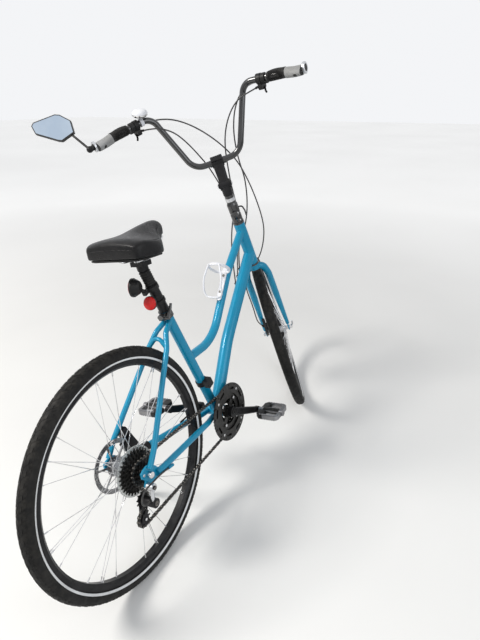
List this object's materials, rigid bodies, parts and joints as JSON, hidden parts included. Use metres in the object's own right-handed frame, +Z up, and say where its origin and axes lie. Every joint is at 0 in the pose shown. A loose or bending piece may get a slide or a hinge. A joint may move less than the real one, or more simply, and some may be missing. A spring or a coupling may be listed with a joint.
{
  "type": "step-through hybrid bicycle",
  "caption": "Step-through hybrid bicycle with high-rise handlebar, comfort saddle, chain drive, disc brakes and side stand.",
  "frame": {"origin": "on the floor, below the middle of the parked bicycle's bounding box", "axes": "+X towards the front wheel, +Y towards the bicycle's left, the side it leans to, +Z up"},
  "size_m": [1.7287, 0.8798, 1.4199],
  "materials": {
    "frame_paint": "gloss",
    "black_alloy": "satin",
    "black_plastic": "matte",
    "soft_rubber": "matte",
    "saddle_cover": "satin",
    "tyre_rubber": "matte",
    "red_lens": "gloss",
    "white_plastic": "gloss",
    "silver_metal": "satin",
    "chain_steel": "oiled",
    "clear_plastic": "clear",
    "cable_cover": "satin",
    "mirror": "polished"
  },
  "bodies": {
    "frame": {"head_tube": "frame_paint", "top_tube": "frame_paint", "down_tube": "frame_paint", "seat_tube": "frame_paint", "bottom_bracket": "frame_paint", "chainstay_left": "frame_paint", "chainstay_right": "frame_paint", "seatstay_left": "frame_paint", "seatstay_right": "frame_paint", "stay_bridge": "frame_paint", "headset": "black_alloy", "seat_collar": "black_alloy", "seatpost": "black_alloy", "seatpost_boot": "soft_rubber", "saddle_shell": "black_plastic", "saddle_pad": "saddle_cover", "rear_lamp": "black_plastic", "rear_reflector": "red_lens", "bottle_cage": "white_plastic", "front_derailleur": "silver_metal", "rear_derailleur": "silver_metal", "chain": "chain_steel", "rear_caliper": "black_alloy", "rear_axle": "silver_metal", "stand_bracket": "black_alloy", "hose_rear": "cable_cover", "gear_cable_left": "cable_cover", "gear_cable_right": "cable_cover", "gear_loop": "cable_cover"},
    "steering": {"fork": "frame_paint", "stem_riser": "black_alloy", "stem": "black_alloy", "handlebar": "black_alloy", "grip_left": "soft_rubber", "grip_right": "soft_rubber", "controls_left": "black_plastic", "controls_right": "black_plastic", "bell": "white_plastic", "mirror": "black_plastic", "mirror_glass": "mirror", "front_caliper": "black_alloy", "front_axle": "silver_metal", "hose_front": "cable_cover"},
    "front_wheel": {"front_tyre": "tyre_rubber", "front_rim": "black_alloy", "front_spokes": "silver_metal", "front_hub": "silver_metal", "front_rotor": "silver_metal"},
    "rear_wheel": {"rear_tyre": "tyre_rubber", "rear_rim": "black_alloy", "rear_spokes": "silver_metal", "rear_hub": "silver_metal", "rear_rotor": "silver_metal", "cassette": "chain_steel", "spoke_guard": "clear_plastic"},
    "crankset": {"crank_arms": "black_alloy", "chainrings": "black_alloy"},
    "pedal_left": {"pedal_left": "black_plastic"},
    "pedal_right": {"pedal_right": "black_plastic"},
    "stand": {"stand_leg": "black_alloy"}
  },
  "joints": [
    {"name": "steering", "type": "hinge", "parent": "frame", "child": "steering", "pos_m": [0.31389, -0.12852, 0.87769], "axis": [-0.3354, 0.1668, 0.9272], "range_deg": [-86, 24], "deforming": ["hose_rear", "gear_cable_left", "gear_cable_right"]},
    {"name": "front_wheel_turn", "type": "hinge", "parent": "steering", "child": "front_wheel", "pos_m": [0.55301, -0.20046, 0.33537], "axis": [-0.4852, 0.813, -0.3218], "continuous": true},
    {"name": "rear_wheel_turn", "type": "hinge", "parent": "frame", "child": "rear_wheel", "pos_m": [-0.51138, -0.22387, 0.34776], "axis": [0, 0.9842, -0.1771], "continuous": true},
    {"name": "crank_turn", "type": "hinge", "parent": "frame", "child": "crankset", "pos_m": [-0.05563, -0.23617, 0.27943], "axis": [0, 0.9842, -0.1771], "continuous": true},
    {"name": "pedal_left_turn", "type": "hinge", "parent": "crankset", "child": "pedal_left", "pos_m": [-0.20723, -0.22254, 0.35514], "axis": [0, 0.9842, -0.1771], "continuous": true},
    {"name": "pedal_right_turn", "type": "hinge", "parent": "crankset", "child": "pedal_right", "pos_m": [0.09596, -0.24979, 0.20372], "axis": [0, 0.9842, -0.1771], "continuous": true},
    {"name": "stand_swing", "type": "hinge", "parent": "frame", "child": "stand", "pos_m": [-0.38166, -0.15268, 0.2804], "axis": [0.1716, 0.9133, 0.3694], "range_deg": [0, 108]}
  ]
}
